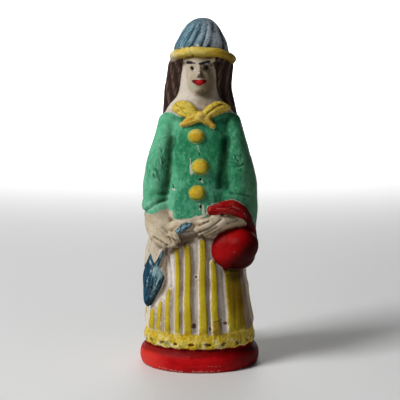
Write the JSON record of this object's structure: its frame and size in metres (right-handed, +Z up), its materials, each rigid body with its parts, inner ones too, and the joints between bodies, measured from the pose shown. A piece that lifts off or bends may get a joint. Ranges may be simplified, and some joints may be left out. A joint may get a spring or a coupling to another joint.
{
  "type": "ceramic figurine whistle",
  "caption": "Pressed and painted ceramic figurine of a standing lady with a bag and a folded umbrella, on a round base, with a whistle's mouthpiece behind.",
  "frame": {"origin": "centre of the base's flat underside", "axes": "+Z up through the hat; the figure looks along -Y, her left hand is at +X, the mouthpiece points along +Y"},
  "size_m": [0.063, 0.0741, 0.18],
  "materials": {
    "painted_ceramic": "hand-painted, satin, with brush marks and chips; green stands for all the paints"
  },
  "bodies": {
    "root": {"figurine_whistle": "painted_ceramic"}
  },
  "joints": []
}
